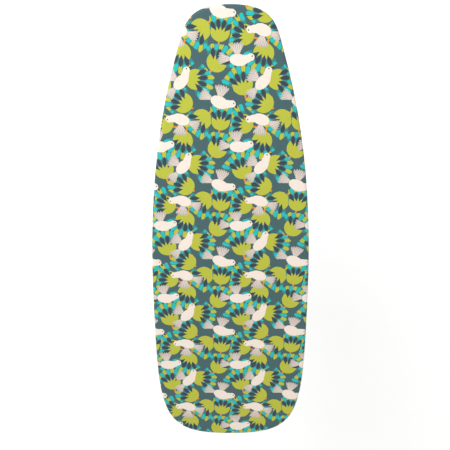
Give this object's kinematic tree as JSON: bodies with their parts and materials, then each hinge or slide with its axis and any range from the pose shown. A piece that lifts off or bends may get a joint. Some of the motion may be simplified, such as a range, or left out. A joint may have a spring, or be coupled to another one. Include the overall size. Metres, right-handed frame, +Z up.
{
  "type": "ironing board",
  "caption": "Folding ironing board: padded tapered top in a fitted elastic cover, on crossed tube legs with a height rod, brake and release lever.",
  "frame": {"origin": "on the floor, under the middle of the top's bounding box", "axes": "+Y towards the narrow nose, +Z up, +X to the right of someone facing the nose"},
  "size_m": [0.433, 1.22, 0.9],
  "materials": {
    "printed_cotton": "matt printed cotton cloth, pulled tight",
    "pad_felt": "thick needled felt",
    "elastic_cord": "braided elastic",
    "frame_paint": "light grey powder coat",
    "leg_paint": "silver grey powder coat",
    "zinc_steel": "bright zinc plate",
    "white_nylon": "moulded nylon",
    "dark_plastic": "moulded plastic",
    "foot_rubber": "moulded rubber"
  },
  "bodies": {
    "board": {"cover": "printed_cotton", "hem_elastic": "elastic_cord", "felt_pad": "pad_felt", "steam_panel": "frame_paint", "rim_frame": "frame_paint", "cross_brace_heel": "frame_paint", "cross_brace_rear": "frame_paint", "cross_brace_middle": "frame_paint", "cross_brace_front": "frame_paint", "cross_brace_nose": "frame_paint", "pivot_bracket": "zinc_steel", "pivot_pin": "zinc_steel", "pivot_nut_left": "zinc_steel", "pivot_nut_right": "zinc_steel", "pivot_spacer_left": "white_nylon", "pivot_spacer_right": "white_nylon", "slide_rail_left": "zinc_steel", "slide_rail_right": "zinc_steel", "brake_box": "zinc_steel", "brake_spring": "zinc_steel", "shaft_bearing_left": "zinc_steel", "shaft_bearing_right": "zinc_steel"},
    "outer_leg": {"outer_tube_left": "leg_paint", "outer_tube_right": "leg_paint", "outer_leg_brace": "leg_paint", "front_foot_bar": "leg_paint", "front_foot_cap_left": "foot_rubber", "front_foot_cap_right": "foot_rubber", "crossing_pin": "zinc_steel", "crossing_sleeve": "zinc_steel", "crossing_washer_left": "white_nylon", "crossing_washer_right": "white_nylon", "crossing_nut_left": "zinc_steel", "crossing_nut_right": "zinc_steel"},
    "inner_leg": {"inner_tube_left": "leg_paint", "inner_tube_right": "leg_paint", "inner_leg_brace": "leg_paint", "rear_foot_bar": "leg_paint", "rear_foot_cap_left": "foot_rubber", "rear_foot_cap_right": "foot_rubber", "slide_bar": "zinc_steel"},
    "carriage": {"glide_left": "white_nylon", "glide_right": "white_nylon", "rod_clevis": "dark_plastic", "height_rod": "zinc_steel", "rod_stop": "dark_plastic"},
    "release_lever": {"lever_shaft": "zinc_steel", "lever_grip": "dark_plastic", "brake_block": "zinc_steel"}
  },
  "joints": [
    {"name": "leg_fold", "type": "hinge", "parent": "board", "child": "outer_leg", "pos_m": [0, -0.44, 0.8528], "axis": [1, 0, 0], "range_deg": [0, 51]},
    {"name": "leg_cross", "type": "hinge", "parent": "outer_leg", "child": "inner_leg", "pos_m": [0, -0.1716, 0.48338], "axis": [1, 0, 0], "range_deg": [-102, 0]},
    {"name": "slide_turn", "type": "hinge", "parent": "inner_leg", "child": "carriage", "pos_m": [0, 0.0968, 0.8528], "axis": [1, 0, 0], "range_deg": [0, 51]},
    {"name": "lever_squeeze", "type": "hinge", "parent": "board", "child": "release_lever", "pos_m": [0, 0.0442, 0.8633], "axis": [-1, 0, 0], "range_deg": [0, 7], "stiffness_Nm_per_rad": 3, "springref_deg": -11.46}
  ],
  "couplings": [
    {"joint": "leg_cross", "follows": "leg_fold", "ratio": -2},
    {"joint": "slide_turn", "follows": "leg_fold", "ratio": 1}
  ]
}
